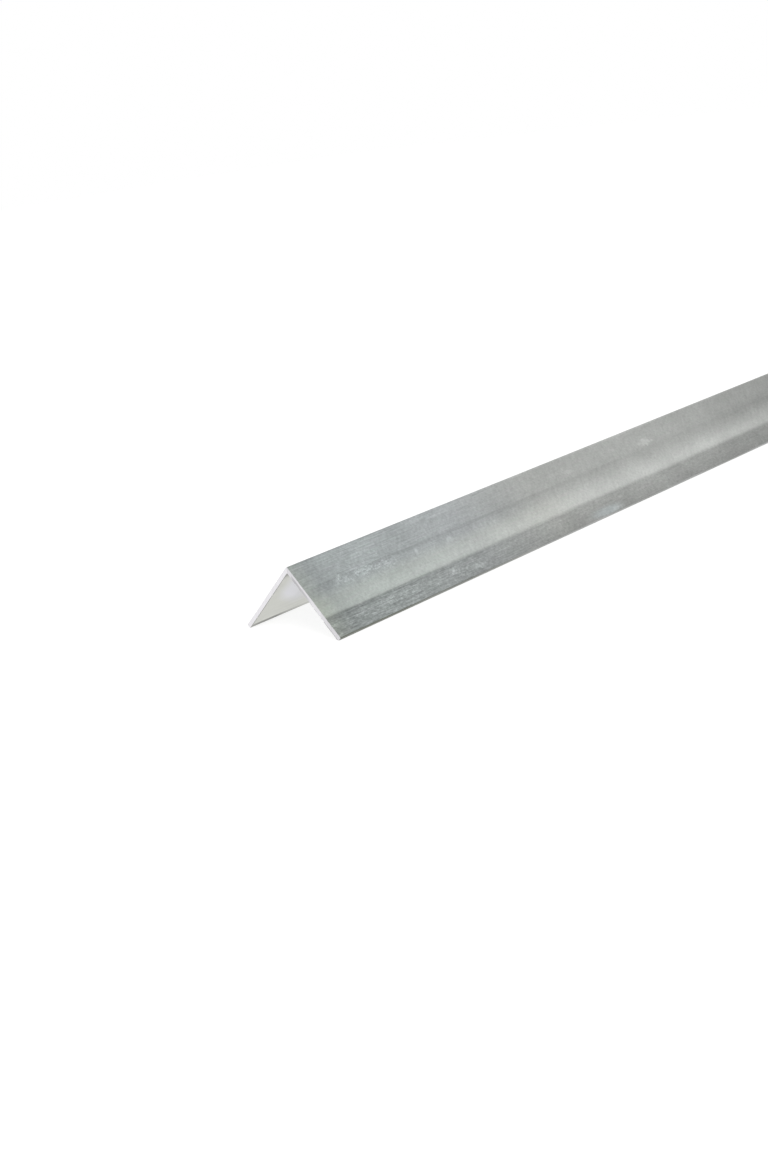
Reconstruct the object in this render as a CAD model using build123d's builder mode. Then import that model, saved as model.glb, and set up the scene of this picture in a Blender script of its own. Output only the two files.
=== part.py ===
from build123d import *
import math
import os

# A straight length of equal angle in aluminium: one L section pressed through a die and sawn square at both
# ends. It lies the way a roof does, with the heel up and the inner edges of both toes on the floor.
# Sizes are in millimetres, X runs along the length, +Z is up and the floor is Z = 0.

# Stock size: two equal legs, measured over the outside, and one wall thickness
LEG = 30.0
WALL = 1.5
LENGTH = 1000.0

# Corners as the die leaves them: outside the bend, inside the bend, and on the four edges of the toes
HEEL_RADIUS = 0.5
ROOT_RADIUS = 0.4
TOE_RADIUS = 0.2


def nearest_corner(sketch, point):
    """Give the corner of a sketch that lies nearest to a point in the sketch's own plane."""
    return sketch.vertices().sort_by_distance(point)[0]


# Both legs slope down at 45 degrees, so the floor touches each toe at the middle of its rounded inner edge.
# The centre of that rounding is this far below the sharp heel corner, and the radius itself comes below it.
drop_to_rounding_centre = (LEG + WALL - 2 * TOE_RADIUS) / math.sqrt(2)
sharp_heel_height = drop_to_rounding_centre + TOE_RADIUS

# The section is drawn on the near end: its x runs down the front leg and its y down the back leg
section_plane = Plane(
    origin=(-LENGTH / 2, 0, sharp_heel_height),
    x_dir=(0, -1, -1),
    z_dir=(1, 0, 0),
)

# Sharp corners of the section, from the heel round the front toe, the root and the back toe
heel = (0, 0)
front_toe_outer = (LEG, 0)
front_toe_inner = (LEG, WALL)
root = (WALL, WALL)
back_toe_inner = (WALL, LEG)
back_toe_outer = (0, LEG)

with BuildPart() as angle_section:
    with BuildSketch(section_plane) as section:
        with BuildLine():
            Polyline(
                heel,
                front_toe_outer,
                front_toe_inner,
                root,
                back_toe_inner,
                back_toe_outer,
                close=True,
            )
        make_face()
        fillet(nearest_corner(section, heel), HEEL_RADIUS)
        fillet(nearest_corner(section, root), ROOT_RADIUS)
        for toe_corner in (front_toe_outer, front_toe_inner, back_toe_inner, back_toe_outer):
            fillet(nearest_corner(section, toe_corner), TOE_RADIUS)
    extrude(amount=LENGTH)

angle_section.part.label = "angle_section"
os.makedirs("parts", exist_ok=True)
export_step(angle_section.part, "parts/angle_section.step")
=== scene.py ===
"""The looks of one length of aluminium angle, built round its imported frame.

The bar lies like a roof, heel up. X runs along it, from the near sawn end at the lowest X, and everything is
in metres. The shape is modelled with the front leg level and the back leg hanging, and is turned by 45
degrees about its heel when it is whole.
"""

import logging
import math
from dataclasses import dataclass, field
from enum import Enum, IntEnum
from functools import cached_property, reduce
from typing import Any, Callable

import bmesh
import bpy
from mathutils import Euler, Matrix, Vector


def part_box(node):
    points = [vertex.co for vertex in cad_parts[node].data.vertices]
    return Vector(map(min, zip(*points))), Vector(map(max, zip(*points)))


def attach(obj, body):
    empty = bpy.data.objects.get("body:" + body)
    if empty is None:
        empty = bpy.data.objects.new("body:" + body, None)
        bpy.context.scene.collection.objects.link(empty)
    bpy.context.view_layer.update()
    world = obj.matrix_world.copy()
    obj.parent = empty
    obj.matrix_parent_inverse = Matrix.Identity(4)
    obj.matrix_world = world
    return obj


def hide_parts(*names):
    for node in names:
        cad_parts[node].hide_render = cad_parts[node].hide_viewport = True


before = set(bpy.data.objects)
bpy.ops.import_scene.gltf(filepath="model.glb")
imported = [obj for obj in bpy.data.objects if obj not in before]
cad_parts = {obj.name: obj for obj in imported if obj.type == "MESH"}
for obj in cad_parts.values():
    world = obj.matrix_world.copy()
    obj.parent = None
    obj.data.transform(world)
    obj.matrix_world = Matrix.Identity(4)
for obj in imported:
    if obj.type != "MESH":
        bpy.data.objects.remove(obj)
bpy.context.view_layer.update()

LOG = logging.getLogger("angle")
MM = 0.001
NODE = "angle_section"
ROOT_TWO = math.sqrt(2)

Socket = Any
Test = Callable[[Any], bool]
Colour = tuple[float, float, float]
Span = tuple[float, float]
Stops = tuple[tuple[float, float], ...]

# Two places this close together count as one.
TOLERANCE = 0.01 * MM

# A face counts as facing a way when its normal reaches this far that way.
FACING = 0.9

# Most of a noise lies in the first range, and nearly all of it in the second.
NOISE_MOST: Span = (0.3, 0.7)
NOISE_ALL: Span = (0.25, 0.75)

# The Mix node's colour sockets by number, because its sockets for numbers and colours share their names.
MIX_FIRST = 6
MIX_SECOND = 7
MIX_RESULT = 2

RISING: Span = (0.0, 1.0)
FALLING: Span = (1.0, 0.0)
EITHER_WAY: Span = (-1.0, 1.0)
NO_TINT: Colour = (1.0, 1.0, 1.0)


def grey(level: float) -> tuple[float, float, float, float]:
    """Give an opaque grey."""
    return (level, level, level, 1.0)


class Surface(IntEnum):
    """The kinds of surface on the bar, numbered as its material slots."""

    OUTER = 0
    INNER = 1
    TOE = 2
    SAWN = 3


class Part(Enum):
    """The parts of a mesh that can be selected, by the name of their edit mode."""

    VERTS = "VERT"
    EDGES = "EDGE"
    FACES = "FACE"


class Bench:
    """Edit mode on one object, with selection by a test on each vertex, edge or face."""

    def __init__(self, piece: bpy.types.Object) -> None:
        """Remember the object that is worked on."""
        self.piece = piece

    def __enter__(self) -> "Bench":
        """Select this object alone and enter edit mode with nothing selected.

        Returns:
            The bench itself.
        """
        bpy.ops.object.select_all(action="DESELECT")
        self.piece.select_set(True)
        bpy.context.view_layer.objects.active = self.piece
        bpy.ops.object.mode_set(mode="EDIT")
        bpy.ops.mesh.select_all(action="DESELECT")
        return self

    def __exit__(self, *problem: Any) -> None:
        """Go back to object mode."""
        bpy.ops.object.mode_set(mode="OBJECT")

    def _choose(self, kind: Part, wanted: Test) -> None:
        """Select the parts of one kind that pass a test, and nothing else.

        Args:
            kind: the kind of part.
            wanted: the test that a part has to pass.
        """
        bpy.ops.mesh.select_mode(type=kind.value)
        bpy.ops.mesh.select_all(action="DESELECT")
        mesh = bmesh.from_edit_mesh(self.piece.data)
        chosen = [part for part in getattr(mesh, kind.name.lower()) if wanted(part)]
        for part in chosen:
            part.select_set(True)
        mesh.select_flush_mode()
        bmesh.update_edit_mesh(self.piece.data)
        if not chosen:
            raise ValueError(f"no {kind.name.lower()} of {self.piece.name} pass the test")

    def verts(self, wanted: Test) -> None:
        """Select vertices by a test."""
        self._choose(Part.VERTS, wanted)

    def edges(self, wanted: Test) -> None:
        """Select edges by a test."""
        self._choose(Part.EDGES, wanted)

    def faces(self, wanted: Test) -> None:
        """Select faces by a test."""
        self._choose(Part.FACES, wanted)

    def cut(self, place: Vector, normal: Vector) -> None:
        """Cut the whole mesh by a plane, leaving both halves joined."""
        bpy.ops.mesh.select_all(action="SELECT")
        bpy.ops.mesh.bisect(plane_co=place, plane_no=normal)

    def move(self, by: Vector) -> None:
        """Move what is selected."""
        bpy.ops.transform.translate(value=by)


class Wiring:
    """Adds the nodes of one tree and joins them."""

    def __init__(self, tree: bpy.types.NodeTree) -> None:
        """Start the tree empty."""
        self.tree = tree
        tree.nodes.clear()

    def add(self, kind: str, inputs: dict[str, Any] | None = None, **settings: Any) -> bpy.types.Node:
        """Add a node.

        Args:
            kind: the node's type name.
            inputs: for each socket's name or number, a socket to link or a value to set.
            settings: properties of the node.

        Returns:
            The node.
        """
        node = self.tree.nodes.new(kind)
        for name, value in settings.items():
            setattr(node, name, value)
        for name, value in (inputs or {}).items():
            self.feed(node.inputs[name], value)
        return node

    def feed(self, socket: Socket, value: Any) -> None:
        """Link a socket to another, or set its value.

        Args:
            socket: the socket that is fed.
            value: the socket to link, or the value to set.
        """
        if isinstance(value, bpy.types.NodeSocket):
            self.tree.links.new(value, socket)
        else:
            socket.default_value = value

    def math(self, operation: str, *values: Any, clamp: bool = False) -> Socket:
        """Add a Math node.

        Args:
            operation: the node's operation.
            values: its inputs in order, as sockets or numbers.
            clamp: whether the result is held between 0 and 1.

        Returns:
            The result's socket.
        """
        node = self.add("ShaderNodeMath", dict(enumerate(values)), operation=operation, use_clamp=clamp)
        return node.outputs[0]

    def times(self, *values: Any) -> Socket:
        """Multiply sockets and numbers, two at a time."""
        return reduce(lambda first, second: self.math("MULTIPLY", first, second), values)

    def span(self, value: Socket, old: Span, new: Span, **settings: Any) -> Socket:
        """Map one range of numbers onto another, held at its ends.

        Args:
            value: the number to map.
            old: the range that it comes in.
            new: the range that it goes to.
            settings: properties of the Map Range node.

        Returns:
            The mapped number's socket.
        """
        limits = {"Value": value, "From Min": old[0], "From Max": old[1], "To Min": new[0], "To Max": new[1]}
        return self.add("ShaderNodeMapRange", limits, **settings).outputs[0]

    def point(self, x: Any, y: Any, z: Any) -> Socket:
        """Join three numbers into one vector."""
        return self.add("ShaderNodeCombineXYZ", {"X": x, "Y": y, "Z": z}).outputs[0]

    def noise(self, place: Socket, scale: float = 1.0, detail: float = 2.0, roughness: float = 0.5) -> Socket:
        """Give a noise value for a place, about 0.5 in the middle."""
        inputs = {"Vector": place, "Scale": scale, "Detail": detail, "Roughness": roughness}
        return self.add("ShaderNodeTexNoise", inputs).outputs[0]

    def ramp(self, value: Socket, stops: Stops) -> Socket:
        """Give a tone for a number by stops along a ramp.

        Args:
            value: the number, from 0 to 1.
            stops: pairs of place and tone, in order.

        Returns:
            The tone's socket.
        """
        node = self.add("ShaderNodeValToRGB", {"Fac": value})
        elements = node.color_ramp.elements
        while len(elements) < len(stops):
            elements.new(0.5)
        for element, (place, tone) in zip(elements, stops):
            element.position = place
            element.color = (tone, tone, tone, 1.0)
        return node.outputs[0]

    def wave(self, noise: Socket, depth: Any) -> Socket:
        """Give a factor about 1 that a noise moves up and down by a depth."""
        return self.math("MULTIPLY_ADD", self.span(noise, NOISE_ALL, EITHER_WAY), depth, 1.0)

    def mix(self, share: Socket, first: Any, second: Any) -> Socket:
        """Mix two colours.

        Args:
            share: how much of the second colour there is.
            first: a socket, or three numbers.
            second: a socket, or three numbers.

        Returns:
            The mixed colour's socket.
        """
        both = [(*colour, 1.0) if isinstance(colour, tuple) else colour for colour in (first, second)]
        inputs = {0: share, MIX_FIRST: both[0], MIX_SECOND: both[1]}
        return self.add("ShaderNodeMix", inputs, data_type="RGBA").outputs[MIX_RESULT]

    def product(self, first: Any, second: Any) -> Socket:
        """Multiply two colours or vectors, channel by channel."""
        return self.add("ShaderNodeVectorMath", {0: first, 1: second}, operation="MULTIPLY").outputs[0]

    def scaled(self, colour: Any, tone: Socket) -> Socket:
        """Give a colour made lighter or darker by a tone."""
        return self.add("ShaderNodeVectorMath", {0: colour, "Scale": tone}, operation="SCALE").outputs[0]

    def metal(self, colour: Socket, roughness: Socket, height: Socket, bump: float, relief: float) -> None:
        """Add the shader of bare metal, and the output.

        Args:
            colour: its colour.
            roughness: its roughness.
            height: the noise that its relief follows.
            bump: how strong the relief is.
            relief: how high it stands.
        """
        slopes = self.add("ShaderNodeBump", {"Strength": bump, "Distance": relief, "Height": height})
        looks = {"Base Color": colour, "Metallic": 1.0, "Roughness": roughness, "Normal": slopes.outputs[0]}
        shader = self.add("ShaderNodeBsdfPrincipled", looks)
        self.add("ShaderNodeOutputMaterial", {"Surface": shader.outputs[0]})


class Place:
    """Where a shaded point is on the bar, each number as a socket that is made when it is first asked for."""

    def __init__(self, wiring: Wiring, length: float, leg: float) -> None:
        """Start from the object's own coordinates.

        Args:
            wiring: the wiring of the material.
            length: the length of the bar.
            leg: the width of a leg.
        """
        self.wiring = wiring
        self.length = length
        self.leg = leg
        self.whole = wiring.add("ShaderNodeTexCoord").outputs["Object"]
        axes = wiring.add("ShaderNodeSeparateXYZ", {"Vector": self.whole}).outputs
        self.x, self.y, self.z = axes["X"], axes["Y"], axes["Z"]

    @cached_property
    def along(self) -> Socket:
        """Give the distance from the near end."""
        return self.wiring.math("ADD", self.x, self.length / 2)

    @cached_property
    def down(self) -> Socket:
        """Give the distance down a leg from the heel, below zero on the front leg."""
        return self.wiring.math("MULTIPLY", self.y, ROOT_TWO)

    @cached_property
    def on_front(self) -> Socket:
        """Give 1 on the front leg and 0 on the back leg."""
        return self.wiring.math("LESS_THAN", self.y, 0.0)

    @cached_property
    def across(self) -> Socket:
        """Give the share of a leg, from 0 at the heel to 1 at the toe."""
        return self.wiring.math("DIVIDE", self.wiring.math("ABSOLUTE", self.down), self.leg)

    @cached_property
    def flat(self) -> Socket:
        """Give the point on the leg laid out flat."""
        return self.wiring.point(self.along, self.down, 0.0)

    def blend(self, stretch: Span, values: Span = RISING) -> Socket:
        """Give a number that goes from one value to another over a stretch of the bar."""
        return self.wiring.span(self.along, stretch, values)

    def stretched(self, along_scale: float, down_scale: float, layer: float) -> Socket:
        """Give the point on the leg laid out flat and scaled, in one layer of a noise.

        Args:
            along_scale: waves of the noise in a metre along the bar.
            down_scale: waves of the noise in a metre down the leg.
            layer: a number that is different for each noise.

        Returns:
            The point's socket.
        """
        return self.wiring.point(
            self.wiring.math("MULTIPLY", self.along, along_scale),
            self.wiring.math("MULTIPLY", self.down, down_scale),
            layer,
        )


@dataclass(frozen=True)
class Grain:
    """A noise on the leg laid out flat: its waves in a metre each way, its layer, and how fine it is."""

    along: float
    down: float
    layer: float
    detail: float = 2.0
    roughness: float = 0.5

    def value(self, wiring: Wiring, place: Place) -> Socket:
        """Give the noise at the shaded point."""
        spot = place.stretched(self.along, self.down, self.layer)
        return wiring.noise(spot, detail=self.detail, roughness=self.roughness)


@dataclass(frozen=True)
class Blemish:
    """A patch on the metal, an ellipse with a soft edge: its middle, its size and how strong it is."""

    along: float
    across: float
    half_length: float
    half_width: float
    strength: float
    core: float = 0.2

    def share(self, wiring: Wiring, place: Place, ragged: Any = 0.0) -> Socket:
        """Give 1 at the middle of the patch, falling to 0 at its edge.

        Args:
            wiring: the wiring of the material.
            place: where the shaded point is.
            ragged: noise that breaks up the edge.

        Returns:
            The share's socket.
        """
        offset = wiring.point(
            wiring.math("DIVIDE", wiring.math("SUBTRACT", place.along, self.along), self.half_length),
            wiring.math("DIVIDE", wiring.math("SUBTRACT", place.across, self.across), self.half_width),
            0.0,
        )
        reach = wiring.add("ShaderNodeVectorMath", {0: offset}, operation="LENGTH").outputs["Value"]
        distance = wiring.math("ADD", reach, ragged)
        return wiring.span(distance, (self.core, 1.0), FALLING, interpolation_type="SMOOTHSTEP")


@dataclass(frozen=True)
class Finish:
    """The finish of one kind of surface on a bar of a given length and leg."""

    length: float
    leg: float
    name: str = "metal"
    bump: float = 0.3
    relief: float = 0.02 * MM

    def material(self) -> bpy.types.Material:
        """Build the material.

        Returns:
            The material, named and wired.
        """
        material = bpy.data.materials.new(self.name)
        material.use_nodes = True
        wiring = Wiring(material.node_tree)
        self._shade(wiring, Place(wiring, self.length, self.leg))
        return material

    def _shade(self, wiring: Wiring, place: Place) -> None:
        """Wire the shader."""
        raise NotImplementedError


@dataclass(frozen=True)
class MillFace(Finish):
    """The outside of a leg as it leaves the die: tonal bands, die lines and scuffs from handling, with
    painted shade along the bar and a painted highlight along the heel.
    """

    name: str = "mill_face"
    bump: float = 0.35
    roughness: Span = (0.32, 0.41)
    scuff_roughness: float = 0.5
    tint_end: Colour = (0.925, 1.0, 0.94)
    tint_near: Colour = (0.925, 1.0, 1.0)
    tint_middle: Colour = (0.95, 1.0, 1.012)
    tint_far: Colour = (0.975, 1.0, 0.965)
    tint_lower: Colour = (1.0, 1.0, 0.955)
    tint_oily: Colour = (0.93, 1.0, 1.0)
    cast_green: Colour = (0.985, 1.008, 0.99)
    cast_violet: Colour = (1.015, 0.992, 1.01)
    end_stretch: Span = (1 * MM, 9 * MM)
    near_stretch: Span = (30 * MM, 80 * MM)
    far_stretch: Span = (80 * MM, 125 * MM)
    lower_stretch: Span = (80 * MM, 150 * MM)
    lower_across: Stops = ((0.42, 0.0), (0.55, 1.0), (0.72, 1.0), (0.745, 0.4))
    cast_waves: float = 90.0
    cast_layer: float = 7.0
    cast_span: Span = (0.35, 0.65)
    oily_patch: Blemish = Blemish(153 * MM, 0.945, 14.5 * MM, 0.11, 0.15)
    band_stretch: Span = (20 * MM, 110 * MM)
    near_bands: Stops = (
        (0.0, 0.50), (0.03, 0.60), (0.10, 0.60), (0.14, 0.57), (0.28, 0.555),
        (0.45, 0.565), (0.50, 0.615), (0.58, 0.66), (0.65, 0.70), (0.700, 0.685),
        (0.716, 0.62), (0.731, 0.41), (0.748, 0.37), (0.765, 0.38), (0.79, 0.425),
        (0.82, 0.47), (0.86, 0.43), (0.90, 0.395), (0.94, 0.41), (0.965, 0.46),
        (1.0, 0.43),
    )
    # The far bands begin with a painted highlight along the heel edge.
    far_bands: Stops = (
        (0.0, 0.72), (0.015, 0.66), (0.035, 0.54), (0.12, 0.535), (0.20, 0.545),
        (0.30, 0.535), (0.38, 0.52), (0.45, 0.55), (0.50, 0.60), (0.60, 0.68),
        (0.65, 0.71), (0.696, 0.695), (0.718, 0.60), (0.748, 0.47), (0.80, 0.47),
        (0.86, 0.455), (0.90, 0.43), (0.97, 0.43), (1.0, 0.42),
    )
    sway: Grain = Grain(9.0, 0.0, 3.0, detail=1.0)
    sway_reach: Span = (-0.006, 0.006)
    streak: Stops = ((0.328, 0.0), (0.346, 1.0), (0.36, 0.95), (0.39, 0.2), (0.45, 0.0))
    streak_depth: Span = (0.15, 0.03)
    streak_stretch: Span = (60 * MM, 230 * MM)
    streak_start: Span = (5 * MM, 16 * MM)
    die_lines: Grain = Grain(85.0, 2100.0, 0.0, detail=3.0, roughness=0.65)
    line_strength: Stops = ((0.0, 0.6), (0.38, 0.5), (0.52, 0.2), (0.72, 0.2), (0.745, 0.9))
    line_depth: Span = (0.36, 0.10)
    line_stretch: Span = (40 * MM, 150 * MM)
    dashes: Grain = Grain(330.0, 1700.0, 11.0, detail=3.0, roughness=0.65)
    dash_strength: Stops = ((0.725, 0.0), (0.745, 1.0))
    dash_depth: Span = (0.30, 0.10)
    dash_stretch: Span = (40 * MM, 110 * MM)
    speckle: Grain = Grain(900.0, 900.0, 0.0, detail=3.0, roughness=0.7)
    speckle_strength: Stops = ((0.0, 0.8), (0.45, 0.9), (0.55, 0.7), (0.72, 0.7), (0.745, 1.2))
    speckle_depth: Span = (0.20, 0.16)
    speckle_stretch: Span = (40 * MM, 160 * MM)
    blotches: Grain = Grain(45.0, 45.0, 0.0, detail=5.0, roughness=0.62)
    blotch_depth: float = 0.10
    rub_angle: float = math.radians(-50)
    rub_waves: tuple[float, float, float] = (160.0, 600.0, 1.0)
    rub_detail: float = 3.0
    rub_depth: float = 0.06
    stain_length: float = 20 * MM
    stain: Stops = (
        (0.0, 0.99), (0.1, 0.94), (0.3, 0.90), (0.48, 0.87), (0.62, 0.92), (0.8, 0.98), (1.0, 1.0),
    )
    # Painted shade: the tone falls off and comes back slowly along the bar, following how the light falls on
    # it.
    painted_falloff: Stops = ((0.19, 1.0), (0.24, 0.93), (0.28, 0.84), (0.31, 0.79), (0.45, 0.86), (0.75, 1.0))
    ragged: Grain = Grain(420.0, 420.0, 0.0, detail=3.0)
    ragged_reach: Span = (-0.5, 0.5)
    flecks: Grain = Grain(760.0, 1200.0, 5.0, detail=5.0, roughness=0.8)
    fleck_span: Span = (0.44, 0.68)
    blemishes: tuple[Blemish, ...] = (
        Blemish(204 * MM, 0.27, 6.0 * MM, 0.07, 0.16),
        Blemish(151 * MM, 0.235, 4.0 * MM, 0.05, 0.08),
        Blemish(54.5 * MM, 0.425, 1.5 * MM, 0.06, 0.16),
        Blemish(72 * MM, 0.45, 2.4 * MM, 0.05, 0.10),
        Blemish(39 * MM, 0.39, 1.6 * MM, 0.07, 0.10),
        Blemish(17 * MM, 0.36, 1.8 * MM, 0.05, 0.14),
        Blemish(28 * MM, 0.37, 4.0 * MM, 0.06, 0.10),
        Blemish(75 * MM, 0.90, 3.6 * MM, 0.05, 0.17),
        Blemish(63 * MM, 0.865, 2.0 * MM, 0.06, 0.11),
        Blemish(159 * MM, 0.95, 5.0 * MM, 0.06, 0.08),
        Blemish(165 * MM, 0.83, 2.4 * MM, 0.04, 0.08),
        Blemish(183 * MM, 0.19, 2.4 * MM, 0.03, 0.07),
        Blemish(292 * MM, 0.36, 30 * MM, 0.16, -0.045),
        Blemish(22 * MM, 0.38, 30 * MM, 0.14, -0.045),
        Blemish(3 * MM, 0.88, 9 * MM, 0.14, 0.05),
        Blemish(88 * MM, 0.07, 40 * MM, 0.07, 0.04),
        Blemish(214 * MM, 0.40, 18 * MM, 0.50, 0.035),
        Blemish(250 * MM, 0.64, 40 * MM, 0.12, 0.05),
        Blemish(262 * MM, 0.80, 34 * MM, 0.09, -0.03),
    )
    patches: tuple[Blemish, ...] = (
        Blemish(29 * MM, 0.38, 12 * MM, 0.11, 0.30),
        Blemish(40 * MM, 0.42, 9 * MM, 0.10, 0.22),
        Blemish(17 * MM, 0.39, 6 * MM, 0.08, 0.24),
        Blemish(36 * MM, 0.20, 14 * MM, 0.10, 0.10),
        Blemish(30 * MM, 0.36, 34 * MM, 0.22, 0.10),
        Blemish(30 * MM, 0.87, 46 * MM, 0.15, 0.22),
        Blemish(30 * MM, 0.80, 9 * MM, 0.06, 0.16),
        Blemish(70 * MM, 0.88, 14 * MM, 0.10, 0.16),
    )

    def _shade(self, wiring: Wiring, place: Place) -> None:
        """Wire the shader from the tone, the tint and the marks.

        Args:
            wiring: the wiring of the material.
            place: where the shaded point is.
        """
        lines = self.die_lines.value(wiring, place)
        tone = wiring.times(
            self._band_tone(wiring, place),
            self._line_tone(wiring, place, lines),
            self._speckle_tone(wiring, place),
            self._patchy_tone(wiring, place),
        )
        scuffs = self._scuffs(wiring, place)
        colour = wiring.scaled(self._tint(wiring, place), wiring.math("ADD", tone, scuffs))
        roughness = wiring.span(lines, NOISE_MOST, self.roughness)
        roughness = wiring.math("MULTIPLY_ADD", scuffs, self.scuff_roughness, roughness)
        wiring.metal(colour, roughness, lines, self.bump, self.relief)

    def _band_tone(self, wiring: Wiring, place: Place) -> Socket:
        """Give the tone of the broad bands and the dark streak, whose edges wander a little along the bar.

        Args:
            wiring: the wiring of the material.
            place: where the shaded point is.

        Returns:
            The tone's socket.
        """
        sway = wiring.span(self.sway.value(wiring, place), NOISE_MOST, self.sway_reach)
        across = wiring.math("ADD", place.across, sway)
        near = wiring.ramp(across, self.near_bands)
        far = wiring.ramp(across, self.far_bands)
        change = wiring.math("SUBTRACT", far, near)
        bands = wiring.math("MULTIPLY_ADD", change, place.blend(self.band_stretch), near)
        streak = wiring.times(
            wiring.ramp(across, self.streak),
            place.blend(self.streak_stretch, self.streak_depth),
            place.blend(self.streak_start),
        )
        return wiring.times(bands, wiring.math("SUBTRACT", 1.0, streak))

    def _line_tone(self, wiring: Wiring, place: Place, lines: Socket) -> Socket:
        """Give the effect of the die lines, and of short dashes in the duller strip, on the tone.

        Args:
            wiring: the wiring of the material.
            place: where the shaded point is.
            lines: the noise of the die lines.

        Returns:
            The tone's socket.
        """
        line_strength = wiring.ramp(place.across, self.line_strength)
        dash_strength = wiring.ramp(place.across, self.dash_strength)
        line_depth = wiring.times(line_strength, place.blend(self.line_stretch, self.line_depth))
        dash_depth = wiring.times(dash_strength, place.blend(self.dash_stretch, self.dash_depth))
        dashes = self.dashes.value(wiring, place)
        return wiring.times(wiring.wave(lines, line_depth), wiring.wave(dashes, dash_depth))

    def _speckle_tone(self, wiring: Wiring, place: Place) -> Socket:
        """Give the fine light and dark speckle of the unpolished metal.

        Args:
            wiring: the wiring of the material.
            place: where the shaded point is.

        Returns:
            The tone's socket.
        """
        strength = wiring.ramp(place.across, self.speckle_strength)
        depth = wiring.times(strength, place.blend(self.speckle_stretch, self.speckle_depth))
        return wiring.wave(self.speckle.value(wiring, place), depth)

    def _patchy_tone(self, wiring: Wiring, place: Place) -> Socket:
        """Give slow blotches, slanting rubs, the stain by the saw cut, and painted shade that falls off
        slowly along the bar.

        Args:
            wiring: the wiring of the material.
            place: where the shaded point is.

        Returns:
            The tone's socket.
        """
        turned = wiring.add(
            "ShaderNodeVectorRotate",
            {"Vector": place.flat, "Angle": self.rub_angle},
            rotation_type="Z_AXIS",
        ).outputs[0]
        rubs = wiring.noise(wiring.product(turned, self.rub_waves), detail=self.rub_detail)
        return wiring.times(
            wiring.wave(self.blotches.value(wiring, place), self.blotch_depth),
            wiring.wave(rubs, self.rub_depth),
            wiring.ramp(wiring.math("DIVIDE", place.along, self.stain_length), self.stain),
            # painted shade along the bar
            wiring.ramp(wiring.math("DIVIDE", place.along, self.length), self.painted_falloff),
        )

    def _scuffs(self, wiring: Wiring, place: Place) -> Socket:
        """Give the single marks on the front leg, most of them light, and the flecks near the sawn end.

        Args:
            wiring: the wiring of the material.
            place: where the shaded point is.

        Returns:
            The marks' socket.
        """
        ragged = wiring.span(self.ragged.value(wiring, place), NOISE_ALL, self.ragged_reach)
        total = wiring.times(self.oily_patch.share(wiring, place), self.oily_patch.strength)
        for mark in self.blemishes:
            total = wiring.math("MULTIPLY_ADD", mark.share(wiring, place, ragged), mark.strength, total)
        total = wiring.times(total, place.on_front)
        flecks = wiring.span(self.flecks.value(wiring, place), self.fleck_span, RISING)
        for patch in self.patches:
            lit = wiring.times(patch.share(wiring, place, ragged), flecks)
            total = wiring.math("MULTIPLY_ADD", lit, patch.strength, total)
        return total

    def _tint(self, wiring: Wiring, place: Place) -> Socket:
        """Give the tint: greenish at the sawn end, cool near it and neutral further along.

        Args:
            wiring: the wiring of the material.
            place: where the shaded point is.

        Returns:
            The tint's socket.
        """
        tint = wiring.mix(place.blend(self.end_stretch), self.tint_end, self.tint_near)
        tint = wiring.mix(place.blend(self.near_stretch), tint, self.tint_middle)
        tint = wiring.mix(place.blend(self.far_stretch), tint, self.tint_far)
        tint = wiring.mix(self.oily_patch.share(wiring, place), tint, self.tint_oily)
        lower = wiring.ramp(place.across, self.lower_across)
        lower = wiring.times(lower, place.blend(self.lower_stretch, FALLING))
        cast = wiring.noise(wiring.point(place.along, place.across, self.cast_layer), scale=self.cast_waves)
        cast = wiring.mix(wiring.span(cast, self.cast_span, RISING), self.cast_green, self.cast_violet)
        tint = wiring.product(tint, wiring.mix(lower, NO_TINT, self.tint_lower))
        return wiring.product(tint, cast)


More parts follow.
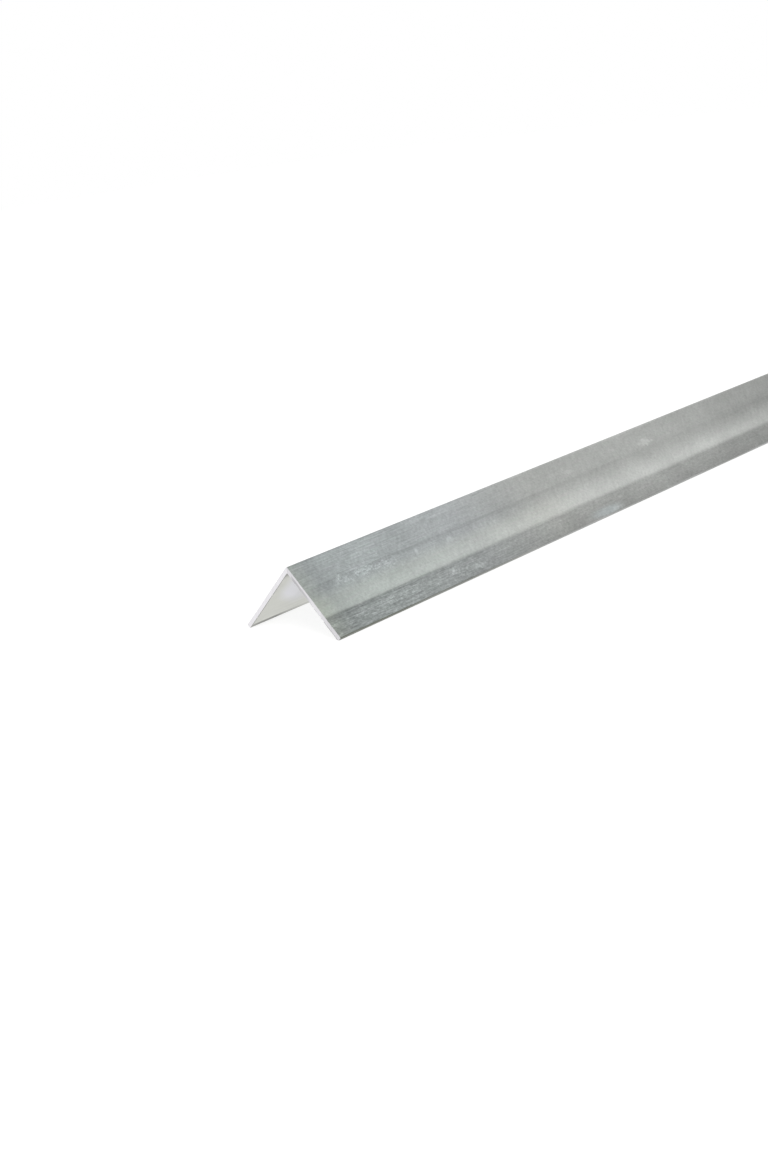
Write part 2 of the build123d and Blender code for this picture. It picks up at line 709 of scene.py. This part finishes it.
@dataclass(frozen=True)
class InnerFace(Finish):
    """The inside of a leg: paler, with soft streaks along the bar, and painted shade in the root and along
    the toe.
    """

    name: str = "inner_face"
    roughness: Span = (0.34, 0.44)
    olive: Colour = (0.99, 1.0, 0.93)
    pale: Colour = (1.15, 1.15, 1.225)
    tone: Span = (0.59, 0.665)
    blotches: Grain = Grain(75.0, 75.0, 2.0)
    streaks: Grain = Grain(38.0, 800.0, 9.0, detail=3.0)
    streak_depth: Stops = ((0.0, 0.03), (0.55, 0.03), (0.75, 0.09), (1.0, 0.09))
    # Painted shade: the tone darkens close to the root, where the corner lies in shade.
    root_grime: Stops = ((0.045, 0.45), (0.075, 0.85), (0.13, 1.0))
    pale_across: Stops = ((0.12, 0.0), (0.24, 1.0), (0.61, 1.0), (0.77, 0.0))
    pale_slant: Span = (0.32, -0.03)
    slant_stretch: Span = (2 * MM, 18 * MM)
    pale_start: Span = (4 * MM, 10 * MM)
    # Noise for where the inner face turns paler and bluer.
    pale_grain: Grain = Grain(20.0, 20.0, 4.0)
    pale_grain_span: Span = (0.35, 0.55)
    pale_grain_share: Span = (0.5, 1.0)
    toe_line: Stops = ((0.888, 0.0), (0.906, 1.0))
    # Painted shadow along the toe edge, strongest a little in from the sawn end and fading along the bar.
    toe_shadow_length: float = 30 * MM
    toe_shadow_stops: Stops = ((0.0, 0.35), (0.15, 0.6), (0.42, 0.7), (0.6, 0.35), (1.0, 0.12))

    def _shade(self, wiring: Wiring, place: Place) -> None:
        """Wire the shader from the tone and two tints that change in patches.

        Args:
            wiring: the wiring of the material.
            place: where the shaded point is.
        """
        streaks = self.streaks.value(wiring, place)
        # Painted shadow: the tone darkens along the toe edge, where the leg meets the floor.
        toe_shadow_share = wiring.ramp(wiring.math("DIVIDE", place.along, self.toe_shadow_length), self.toe_shadow_stops)
        toe_shadow_share = wiring.times(toe_shadow_share, wiring.ramp(place.across, self.toe_line))
        tone = wiring.times(
            wiring.span(self.blotches.value(wiring, place), NOISE_MOST, self.tone),
            wiring.wave(streaks, wiring.ramp(place.across, self.streak_depth)),
            # painted shade in the root
            wiring.ramp(place.across, self.root_grime),
            wiring.math("SUBTRACT", 1.0, toe_shadow_share),
        )
        slanted = wiring.math("ADD", place.across, place.blend(self.slant_stretch, self.pale_slant))
        pale = wiring.times(
            wiring.span(self.pale_grain.value(wiring, place), self.pale_grain_span, self.pale_grain_share),
            wiring.ramp(slanted, self.pale_across),
            place.blend(self.pale_start),
        )
        colour = wiring.scaled(wiring.mix(pale, self.olive, self.pale), tone)
        roughness = wiring.span(streaks, NOISE_MOST, self.roughness)
        wiring.metal(colour, roughness, streaks, self.bump, self.relief)


@dataclass(frozen=True)
class ToeEdge(Finish):
    """The narrow edge of a toe, and the sides of the burrs: dull, with painted shade near the sawn end."""

    name: str = "toe_edge"
    roughness: Span = (0.4, 0.5)
    # Painted shade: dark near the sawn end, where these faces look down to the floor, and lighter further
    # along.
    shaded: Colour = (0.17, 0.18, 0.15)
    less_shaded: Colour = (0.40, 0.405, 0.40)
    shade_fade_stretch: Span = (10 * MM, 150 * MM)
    shade_fade_share: Span = (0.0, 0.85)
    patch_waves: float = 30.0
    patch_reach: Span = (-0.25, 0.25)
    rub_waves: tuple[float, float, float] = (70.0, 1500.0, 1500.0)
    rub_depth: float = 0.22
    detail: float = 3.0

    def _shade(self, wiring: Wiring, place: Place) -> None:
        """Wire the shader from a shaded and a lighter colour, the painted shade fading along the bar and
        changing in patches.

        Args:
            wiring: the wiring of the material.
            place: where the shaded point is.
        """
        spot = wiring.point(place.along, place.y, place.z)
        rub = wiring.noise(wiring.product(spot, self.rub_waves), detail=self.detail)
        patchy = wiring.noise(place.whole, scale=self.patch_waves, detail=self.detail)
        patchy = wiring.span(patchy, NOISE_MOST, self.patch_reach)
        share = wiring.math("ADD", place.blend(self.shade_fade_stretch, self.shade_fade_share), patchy, clamp=True)
        colour = wiring.scaled(wiring.mix(share, self.shaded, self.less_shaded), wiring.wave(rub, self.rub_depth))
        roughness = wiring.span(rub, NOISE_MOST, self.roughness)
        wiring.metal(colour, roughness, rub, self.bump, self.relief)


@dataclass(frozen=True)
class SawnMetal(Finish):
    """The bright sawn end, with fine marks across the wall, and burrs inside it that are greyer, partly as
    torn metal and partly as painted shade.
    """

    wall: float = 1.5 * MM
    heel_height: float = 0.0
    name: str = "sawn_metal"
    bump: float = 0.4
    relief: float = 0.03 * MM
    roughness: Span = (0.38, 0.5)
    mark_waves: tuple[float, float, float] = (2600.0, 420.0, 1.0)
    mark_detail: float = 3.0
    mark_roughness: float = 0.6
    tint: Colour = (0.985, 0.972, 1.0)
    tone: Span = (0.82, 0.96)
    # The burrs' faces are darker, partly as torn metal and partly as painted shade.
    burr_grey_and_shade: float = 0.62
    burr_edge: Span = (-0.04 * MM, 0.02 * MM)
    front_tone: Stops = ((0.0, 0.87), (0.2, 0.88), (0.45, 0.95), (0.62, 0.95), (0.78, 0.85))
    dull_depth: Stops = ((0.44, 0.0), (0.56, 1.0))
    dull_across: Stops = ((0.06, 0.0), (0.12, 0.28), (0.38, 0.24), (0.46, 0.0))

    def _depth(self, wiring: Wiring, place: Place) -> Socket:
        """Give how far a point of the sawn end is in from the outside of its leg.

        Args:
            wiring: the wiring of the material.
            place: where the shaded point is.

        Returns:
            The distance's socket.
        """
        drop = wiring.math("SUBTRACT", self.heel_height, place.z)
        sideways = wiring.math("ABSOLUTE", place.y)
        return wiring.math("DIVIDE", wiring.math("SUBTRACT", drop, sideways), ROOT_TWO)

    def _shade(self, wiring: Wiring, place: Place) -> None:
        """Wire the shader from the saw's marks, a duller strip along the front leg and the burrs.

        Args:
            wiring: the wiring of the material.
            place: where the shaded point is.
        """
        spot = wiring.product(wiring.point(place.y, place.z, place.x), self.mark_waves)
        marks = wiring.noise(spot, detail=self.mark_detail, roughness=self.mark_roughness)
        depth = self._depth(wiring, place)
        past_wall = (self.wall + self.burr_edge[0], self.wall + self.burr_edge[1])
        dull = wiring.times(
            wiring.ramp(wiring.math("DIVIDE", depth, self.wall), self.dull_depth),
            wiring.ramp(place.across, self.dull_across),
            place.on_front,
        )
        tone = wiring.times(
            wiring.span(marks, NOISE_MOST, self.tone),
            # burrs: torn metal and painted shade
            wiring.span(depth, past_wall, (1.0, self.burr_grey_and_shade)),
            wiring.math("SUBTRACT", 1.0, dull),
            wiring.mix(place.on_front, NO_TINT, wiring.ramp(place.across, self.front_tone)),
        )
        roughness = wiring.span(marks, NOISE_MOST, self.roughness)
        wiring.metal(wiring.scaled(self.tint, tone), roughness, marks, self.bump, self.relief)


@dataclass(frozen=True)
class Burr:
    """A ragged lip that the saw leaves on the inside of a leg, from one share of the leg to another."""

    front: bool
    start: float
    stop: float
    height: float


@dataclass
class AngleBar:
    """The bar: an L section with rounded corners, drawn out along X and sawn at both ends."""

    near: float
    far: float
    top: float
    name: str = "angle_bar"
    leg: float = 30 * MM
    wall: float = 1.5 * MM
    slope: float = math.radians(45)
    heel_radius: float = 0.5 * MM
    heel_segments: int = 6
    root_radius: float = 0.4 * MM
    root_segments: int = 5
    toe_radius: float = 0.2 * MM
    toe_segments: int = 4
    toe_share: float = 0.9
    smooth_angle: float = math.radians(30)
    end_facing: float = 0.5
    saw_slopes: tuple[float, float] = (0.0595, 0.0293)
    end_rings: tuple[float, float] = (1.0, 4.0)
    long_edge: float = 10 * MM
    long_cuts: int = 15
    long_cut_rounds: int = 2
    burr_length: float = 0.25 * MM
    burr_zone: Span = (0.07, 0.993)
    burrs: tuple[Burr, ...] = (
        Burr(True, 0.12, 0.20, 0.05 * MM),
        Burr(True, 0.27, 0.31, 0.07 * MM),
        Burr(True, 0.49, 0.53, 0.10 * MM),
        Burr(True, 0.55, 0.60, 0.13 * MM),
        Burr(True, 0.625, 0.65, 0.09 * MM),
        Burr(True, 0.675, 0.70, 0.11 * MM),
        Burr(True, 0.735, 0.79, 0.20 * MM),
        Burr(True, 0.79, 0.87, 0.26 * MM),
        Burr(True, 0.87, 0.93, 0.21 * MM),
        Burr(True, 0.93, 0.984, 0.24 * MM),
        Burr(False, 0.10, 0.24, 0.05 * MM),
        Burr(False, 0.24, 0.41, 0.09 * MM),
        Burr(False, 0.44, 0.62, 0.07 * MM),
        Burr(False, 0.62, 0.80, 0.10 * MM),
        Burr(False, 0.83, 0.95, 0.06 * MM),
    )
    strips: dict[float, float] = field(default_factory=lambda: {
        0.30: 0.0,
        0.45: 0.005 * MM,
        0.55: 0.02 * MM,
        0.65: 0.045 * MM,
        0.735: 0.07 * MM,
        0.76: 0.055 * MM,
        0.88: 0.03 * MM,
    })

    @property
    def heel_height(self) -> float:
        """Give the height of the heel's corner as it would be unrounded."""
        return self.top + (ROOT_TWO - 1) * self.heel_radius

    @property
    def _saw_place(self) -> Vector:
        """Give the corner of the front toe, which is the foremost point of the near end."""
        return Vector((self.near, -self.leg, -self.wall))

    @property
    def _saw_normal(self) -> Vector:
        """Give the direction that the near end is square to, a little off the bar's own."""
        return Vector((1, -self.saw_slopes[0], -self.saw_slopes[1])).normalized()

    def build(self) -> bpy.types.Object:
        """Model the bar and dress it.

        Returns:
            The finished object, at the origin, with its place in its mesh.
        """
        piece = self._heel_block()
        with Bench(piece) as bench:
            self._draw_legs(bench)
            self._round_corners(bench)
            self._cut_strips(bench)
            self._saw_near_end()
            self._cut_lengths(bench)
            self._press_strips(bench)
            self._raise_burrs(bench)
            self._sort_faces(bench)
        self._turn_up(piece)
        self._dress(piece)
        return piece

    def _heel_block(self) -> bpy.types.Object:
        """Add the square block that both legs share, as long as the bar.

        Returns:
            The block.
        """
        bpy.ops.object.select_all(action="DESELECT")
        bpy.ops.mesh.primitive_cube_add(
            size=1.0,
            location=((self.near + self.far) / 2, -self.wall / 2, -self.wall / 2),
            scale=(self.far - self.near, self.wall, self.wall),
        )
        bpy.ops.object.transform_apply(location=True, rotation=True, scale=True)
        piece = bpy.context.active_object
        piece.name = self.name
        piece.data.name = self.name
        return piece

    def _draw_legs(self, bench: Bench) -> None:
        """Extrude the front leg level towards -Y and the back leg down towards -Z.

        Args:
            bench: the bar in edit mode.
        """
        reach = self.leg - self.wall
        bench.faces(lambda face: face.normal.y < -FACING)
        bpy.ops.mesh.extrude_region_move(TRANSFORM_OT_translate={"value": (0, -reach, 0)})
        bench.faces(lambda face: face.normal.z < -FACING and face.calc_center_median().y > -self.wall)
        bpy.ops.mesh.extrude_region_move(TRANSFORM_OT_translate={"value": (0, 0, -reach)})

    @staticmethod
    def _run_of(edge: bmesh.types.BMEdge) -> float:
        """Give how far an edge runs along the bar."""
        return abs(edge.verts[0].co.x - edge.verts[1].co.x)

    def _edge_at(self, y: float, z: float) -> Test:
        """Give a test for edges that run along the bar at one place of the section.

        Args:
            y: how far the place is to the side of the heel.
            z: how far it is above the heel.

        Returns:
            The test.
        """
        def there(vertex: bmesh.types.BMVert) -> bool:
            """Say whether a vertex is at the place."""
            return abs(vertex.co.y - y) + abs(vertex.co.z - z) < TOLERANCE

        return lambda edge: all(map(there, edge.verts)) and self._run_of(edge) > self.wall

    def _round_corners(self, bench: Bench) -> None:
        """Round the heel, the root and the edges of both toes.

        Args:
            bench: the bar in edit mode.
        """
        toe_edges = ((-self.leg, 0.0), (-self.leg, -self.wall), (0.0, -self.leg), (-self.wall, -self.leg))
        corners = [
            (0.0, 0.0, self.heel_radius, self.heel_segments),
            (-self.wall, -self.wall, self.root_radius, self.root_segments),
            *((y, z, self.toe_radius, self.toe_segments) for y, z in toe_edges),
        ]
        for y, z, radius, segments in corners:
            bench.edges(self._edge_at(y, z))
            bpy.ops.mesh.bevel(offset=radius, offset_type="OFFSET", segments=segments, affect="EDGES")

    def _cut_strips(self, bench: Bench) -> None:
        """Cut both legs into strips along the bar.

        Args:
            bench: the bar in edit mode.
        """
        for share in self.strips:
            reach = -share * self.leg
            bench.cut(Vector((0, reach, 0)), Vector((0, 1, 0)))
            bench.cut(Vector((0, 0, reach)), Vector((0, 0, 1)))

    def _saw_near_end(self) -> None:
        """Saw the near end a little off square, so that the heel is further back than the front toe."""
        bpy.ops.mesh.select_all(action="SELECT")
        bpy.ops.mesh.bisect(
            plane_co=self._saw_place,
            plane_no=self._saw_normal,
            use_fill=True,
            clear_inner=True,
        )

    def _cut_lengths(self, bench: Bench) -> None:
        """Cut the bar across, close together at its ends and evenly between.

        Args:
            bench: the bar in edit mode.
        """
        for ring in self.end_rings:
            inset = ring * self.burr_length
            bench.cut(self._saw_place + self._saw_normal * inset, self._saw_normal)
            bench.cut(Vector((self.far - inset, 0, 0)), Vector((1, 0, 0)))
        for _ in range(self.long_cut_rounds):
            bench.edges(lambda edge: self._run_of(edge) > self.long_edge)
            bpy.ops.mesh.subdivide(number_cuts=self.long_cuts)

    def _press_strips(self, bench: Bench) -> None:
        """Press the outside of both legs in along the strips, which leaves a shallow crease.

        Args:
            bench: the bar in edit mode.
        """
        for share, depth in self.strips.items():
            if not depth:
                continue
            reach = -share * self.leg
            bench.verts(lambda v: abs(v.co.y - reach) < TOLERANCE and abs(v.co.z) < TOLERANCE)
            bench.move(Vector((0, 0, -depth)))
            bench.verts(lambda v: abs(v.co.z - reach) < TOLERANCE and abs(v.co.y) < TOLERANCE)
            bench.move(Vector((0, -depth, 0)))

    def _on_rim(self, front: bool, start: float, stop: float) -> Test:
        """Give a test for the inside faces right at the near end.

        Args:
            front: whether the face is on the front leg.
            start: the share of the leg where the faces begin.
            stop: the share of the leg where they end.

        Returns:
            The test.
        """
        def wanted(face: bmesh.types.BMFace) -> bool:
            """Say whether a face is on the rim, on the right leg and between the shares.

            Args:
                face: the face.

            Returns:
                Whether it is.
            """
            middle = face.calc_center_median()
            facing, reach = (face.normal.z, middle.y) if front else (face.normal.y, middle.z)
            at_end = (middle - self._saw_place).dot(self._saw_normal) < self.burr_length
            return at_end and facing < -FACING and start * self.leg < -reach < stop * self.leg

        return wanted

    def _raise_burrs(self, bench: Bench) -> None:
        """Leave lips of burr on the inside of both legs at the near end.

        Args:
            bench: the bar in edit mode.
        """
        for burr in self.burrs:
            normal = Vector((0, 1, 0)) if burr.front else Vector((0, 0, 1))
            for share in (burr.start, burr.stop):
                bench.faces(self._on_rim(burr.front, *self.burr_zone))
                bpy.ops.mesh.bisect(plane_co=normal * (-share * self.leg), plane_no=normal)
        for burr in self.burrs:
            bench.faces(self._on_rim(burr.front, burr.start, burr.stop))
            rise = (0, 0, -burr.height) if burr.front else (0, -burr.height, 0)
            bpy.ops.mesh.extrude_region_move(TRANSFORM_OT_translate={"value": rise})

    def _sort_faces(self, bench: Bench) -> None:
        """Give each face the material slot of its kind of surface.

        Args:
            bench: the bar in edit mode.
        """
        mesh = bmesh.from_edit_mesh(bench.piece.data)
        for face in mesh.faces:
            face.material_index = int(self._surface_of(face))
        bmesh.update_edit_mesh(bench.piece.data)

    def _surface_of(self, face: bmesh.types.BMFace) -> Surface:
        """Say which kind of surface a face belongs to. The sides of the burrs count as toe edge.

        Args:
            face: a face of the bar before it is turned.

        Returns:
            The kind of surface.
        """
        middle = face.calc_center_median()
        if abs(face.normal.x) > self.end_facing:
            return Surface.SAWN
        if min(middle.y, middle.z) < -self.leg + self.toe_share * self.toe_radius:
            return Surface.TOE
        # Burr sides take the toe edge's painted shade.
        if max(middle.y, middle.z) < -self.wall - TOLERANCE:
            return Surface.TOE
        if face.normal.y + face.normal.z > 0:
            return Surface.OUTER
        return Surface.INNER

    def _turn_up(self, piece: bpy.types.Object) -> None:
        """Turn the bar about its heel until both legs slope alike, and lift it to its height.

        Args:
            piece: the bar.
        """
        piece.rotation_euler = Euler((self.slope, 0, 0))
        piece.location = Vector((0, 0, self.heel_height))
        bpy.ops.object.transform_apply(location=True, rotation=True, scale=True)
        bpy.ops.object.shade_smooth_by_angle(angle=self.smooth_angle)

    def _dress(self, piece: bpy.types.Object) -> None:
        """Give the bar its materials, in the order of Surface.

        Args:
            piece: the bar.
        """
        length = self.far - self.near
        finishes = {
            Surface.OUTER: MillFace(length, self.leg),
            Surface.INNER: InnerFace(length, self.leg),
            Surface.TOE: ToeEdge(length, self.leg),
            Surface.SAWN: SawnMetal(length, self.leg, wall=self.wall, heel_height=self.heel_height),
        }
        for surface in Surface:
            piece.data.materials.append(finishes[surface].material())


@dataclass(frozen=True)
class Softbox:
    """A broad lamp that points at the bar."""

    name: str
    place: tuple[float, float, float]
    size: float
    power: float

    def build(self, target: Vector) -> None:
        """Add the lamp.

        Args:
            target: the place that it points at.
        """
        light = bpy.data.lights.new(self.name, "AREA")
        light.shape = "SQUARE"
        light.size = self.size
        light.energy = self.power
        lamp = bpy.data.objects.new(self.name, light)
        lamp.location = self.place
        lamp.rotation_euler = (target - lamp.location).to_track_quat("-Z", "Y").to_euler()
        bpy.context.scene.collection.objects.link(lamp)


@dataclass
class Studio:
    """The floor, the room's light and the camera."""

    near: float
    room_levels: Stops = ((0.08, 1.0), (0.25, 0.8), (0.5, 0.57), (1.0, 0.6))
    floor_size: float = 8.0
    floor_albedo: float = 0.32
    floor_glow: float = 0.82
    bounce_albedo: float = 0.8
    lens: float = 54.86
    sensor_width: float = 36.0
    nearest: float = 0.01
    azimuth: float = -47.5
    pitch: float = 14.95
    roll: float = -7.68
    camera_from_end: tuple[float, float, float] = (-377.3 * MM, -388.7 * MM, 159.6 * MM)
    aim_from_end: float = 0.15
    lamps: tuple[Softbox, ...] = (
        Softbox("key_softbox", (-1.1, -1.2, 1.7), 1.2, 20.0),
        Softbox("sheen_softbox", (1.19, -0.46, 1.13), 0.5, 0.35),
    )

    def build(self) -> None:
        """Set up the room round the bar."""
        self._camera()
        self._floor()
        self._room()
        for lamp in self.lamps:
            lamp.build(Vector((self.near + self.aim_from_end, 0, 0)))
        bpy.context.scene.view_settings.view_transform = "Standard"

    def _camera(self) -> None:
        """Add the camera at the photograph's viewpoint, level line rolled as it was held."""
        data = bpy.data.cameras.new("camera")
        data.lens = self.lens
        data.sensor_width = self.sensor_width
        data.clip_start = self.nearest
        camera = bpy.data.objects.new("camera", data)
        turn = Matrix.Rotation(math.radians(self.azimuth), 4, "Z")
        lean = Matrix.Rotation(math.radians(90 - self.pitch), 4, "X")
        roll = Matrix.Rotation(math.radians(self.roll), 4, "Z")
        place = Vector(self.camera_from_end) + Vector((self.near, 0, 0))
        camera.matrix_world = Matrix.Translation(place) @ turn @ lean @ roll
        bpy.context.scene.collection.objects.link(camera)
        bpy.context.scene.camera = camera

    def _floor(self) -> None:
        """Add the white floor, which keeps the bar's shadow."""
        bpy.ops.object.select_all(action="DESELECT")
        bpy.ops.mesh.primitive_plane_add(size=self.floor_size, location=(0, 0, 0))
        floor = bpy.context.active_object
        floor.name = "floor"
        material = bpy.data.materials.new("floor_paper")
        material.use_nodes = True
        wiring = Wiring(material.node_tree)
        rays = wiring.add("ShaderNodeLightPath").outputs
        matt = wiring.add("ShaderNodeBsdfDiffuse", {"Color": grey(self.floor_albedo)})
        glow = wiring.add("ShaderNodeEmission", {"Color": grey(1.0), "Strength": self.floor_glow})
        paper = wiring.add("ShaderNodeAddShader", {0: matt.outputs[0], 1: glow.outputs[0]})
        plain = wiring.add("ShaderNodeBsdfDiffuse", {"Color": grey(self.bounce_albedo)})
        white = wiring.add("ShaderNodeEmission", {"Color": grey(1.0), "Strength": 1.0})
        by_camera = wiring.add(
            "ShaderNodeMixShader",
            {0: rays["Is Camera Ray"], 1: plain.outputs[0], 2: paper.outputs[0]},
        )
        mirrored = wiring.math("MAXIMUM", rays["Is Glossy Ray"], rays["Is Transmission Ray"])
        by_mirror = wiring.add(
            "ShaderNodeMixShader",
            {0: mirrored, 1: by_camera.outputs[0], 2: white.outputs[0]},
        )
        wiring.add("ShaderNodeOutputMaterial", {"Surface": by_mirror.outputs[0]})
        floor.data.materials.append(material)

    def _room(self) -> None:
        """Light the bar by a room that is white at eye level and greyer overhead."""
        world = bpy.data.worlds.new("room")
        bpy.context.scene.world = world
        world.use_nodes = True
        wiring = Wiring(world.node_tree)
        direction = wiring.add("ShaderNodeTexCoord").outputs["Generated"]
        height = wiring.add("ShaderNodeSeparateXYZ", {"Vector": direction}).outputs["Z"]
        level = wiring.ramp(height, self.room_levels)
        back = wiring.add("ShaderNodeBackground", {"Color": grey(1.0), "Strength": level})
        wiring.add("ShaderNodeOutputWorld", {"Surface": back.outputs[0]})


def main() -> None:
    """Build the bar and the studio, and report each piece."""
    logging.basicConfig(level=logging.INFO, format="%(name)s: %(message)s")
    low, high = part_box(NODE)
    piece = AngleBar(near=low.x, far=high.x, top=high.z).build()
    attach(piece, "root")
    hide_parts(NODE)
    LOG.info("%s has %d faces", piece.name, len(piece.data.polygons))
    Studio(near=low.x).build()


if __name__ == "__main__":
    main()
